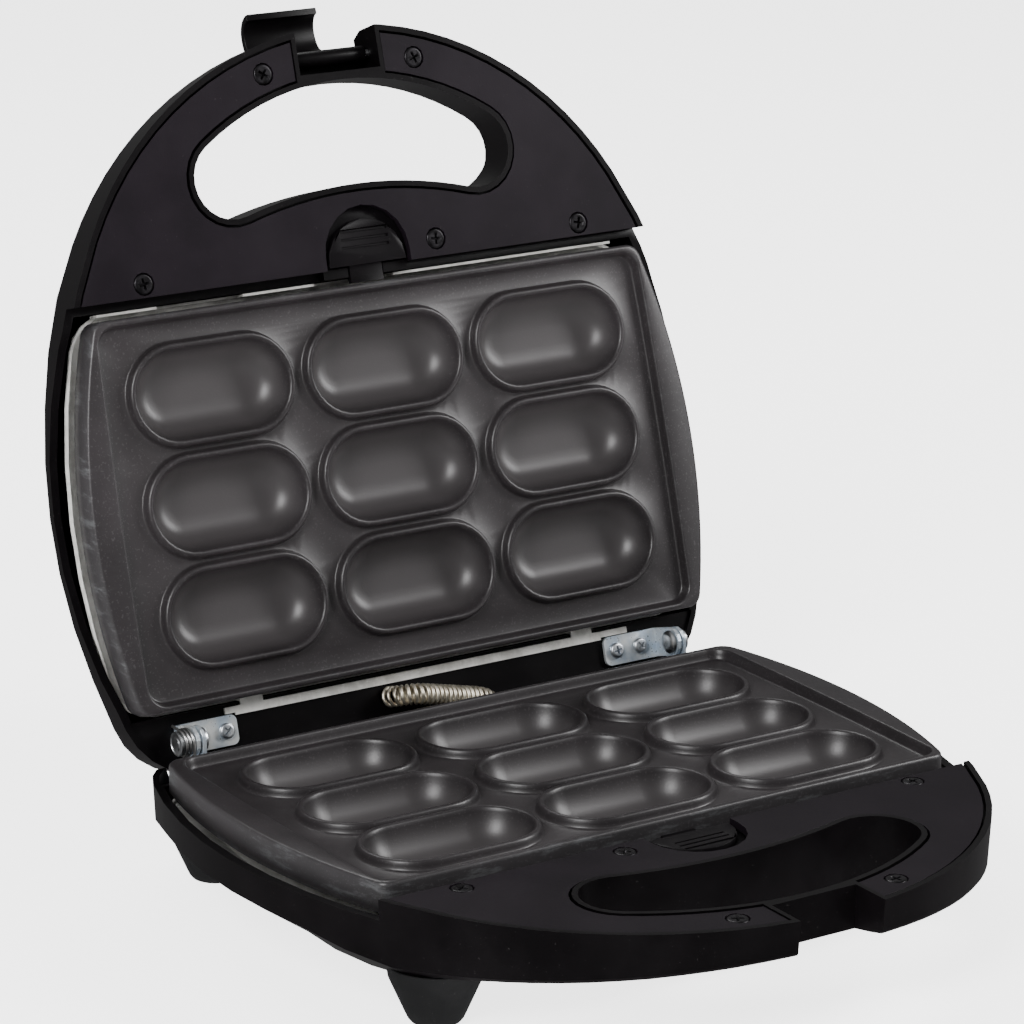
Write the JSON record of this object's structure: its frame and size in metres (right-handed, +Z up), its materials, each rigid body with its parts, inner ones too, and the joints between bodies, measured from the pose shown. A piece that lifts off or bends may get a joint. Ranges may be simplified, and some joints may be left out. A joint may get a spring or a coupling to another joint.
{
  "type": "plate waffle maker",
  "caption": "Countertop waffle maker with a hinged lid, lift-out plates with oblong wells, loop handles, release buttons and a flip-over latch.",
  "frame": {"origin": "on the surface it stands on, under the middle of its box with the lid open", "axes": "+Z up, front with the lower handle towards -Y, +X to the right as seen from the front"},
  "size_m": [0.2382, 0.3168, 0.251],
  "materials": {
    "shell": "satin moulded phenolic, near black",
    "button": "satin moulded plastic, near black",
    "cover": "fine matt grain, dark aubergine grey",
    "nonstick": "cast aluminium with a dark grey non-stick coat",
    "bright": "bright aluminised sheet",
    "zinc": "bluish zinc plate",
    "screw_steel": "plain screw steel",
    "pin_steel": "plain steel",
    "spring_steel": "drawn spring wire",
    "sleeve": "bright coiled wire",
    "heater_tube": "annealed dark steel tube",
    "rubber": "matt black rubber",
    "ceramic": "glazed off-white",
    "switch_metal": "plain metal case",
    "lens_power": "clear red lens",
    "lens_ready": "clear green lens"
  },
  "bodies": {
    "base": {"base_housing": "shell", "base_handle_cover": "cover", "base_reflector": "bright", "hinge_bracket_left": "zinc", "hinge_bracket_right": "zinc", "base_cover_screw_1": "screw_steel", "base_cover_screw_2": "screw_steel", "base_cover_screw_3": "screw_steel", "base_cover_screw_4": "screw_steel", "base_cover_screw_5": "screw_steel", "bracket_screw_1": "screw_steel", "bracket_screw_2": "screw_steel", "bracket_screw_3": "screw_steel", "bracket_screw_4": "screw_steel", "hinge_pin_left": "pin_steel", "hinge_pin_right": "pin_steel", "torsion_spring": "spring_steel", "base_release_spring": "spring_steel", "wire_conduit": "sleeve", "base_heater": "heater_tube", "foot_front_left": "rubber", "foot_front_right": "rubber", "foot_rear_left": "rubber", "foot_rear_right": "rubber", "cord_gland": "rubber", "terminal_block": "ceramic", "thermostat": "switch_metal", "thermal_fuse": "switch_metal"},
    "lid": {"lid_housing": "shell", "lid_handle_cover": "cover", "lid_reflector": "bright", "hinge_leaf_left": "zinc", "hinge_leaf_right": "zinc", "lid_cover_screw_1": "screw_steel", "lid_cover_screw_2": "screw_steel", "lid_cover_screw_3": "screw_steel", "lid_cover_screw_4": "screw_steel", "lid_cover_screw_5": "screw_steel", "leaf_screw_1": "screw_steel", "leaf_screw_2": "screw_steel", "leaf_screw_3": "screw_steel", "leaf_screw_4": "screw_steel", "latch_pin": "pin_steel", "lid_release_spring": "spring_steel", "lid_heater": "heater_tube", "indicator_lens_power": "lens_power", "indicator_lens_ready": "lens_ready"},
    "base_plate_body": {"base_plate": "nonstick"},
    "lid_plate_body": {"lid_plate": "nonstick"},
    "latch_body": {"latch": "shell"},
    "base_button": {"base_release_button": "button"},
    "lid_button": {"lid_release_button": "button"}
  },
  "joints": [
    {"name": "lid_hinge", "type": "hinge", "parent": "base", "child": "lid", "pos_m": [0, 0.0564, 0.044], "axis": [-1, 0, 0], "range_deg": [-106.4, 0]},
    {"name": "latch_hinge", "type": "hinge", "parent": "lid", "child": "latch_body", "pos_m": [0, 0.1247, 0.2388], "axis": [-1, 0, 0], "range_deg": [-180, 0]},
    {"name": "base_release", "type": "slide", "parent": "base", "child": "base_button", "axis": [0, -1, 0], "range_m": [0, 0.004], "stiffness_N_per_m": 400, "springref_m": -0.001},
    {"name": "lid_release", "type": "slide", "parent": "lid", "child": "lid_button", "axis": [0, 0.2826, 0.9592], "range_m": [0, 0.004], "stiffness_N_per_m": 400, "springref_m": -0.001},
    {"name": "base_plate_lift", "type": "slide", "parent": "base", "child": "base_plate_body", "axis": [0, 0, 1], "range_m": [0, 0.025]},
    {"name": "lid_plate_lift", "type": "slide", "parent": "lid", "child": "lid_plate_body", "axis": [0, -0.9592, 0.2826], "range_m": [0, 0.012]}
  ]
}
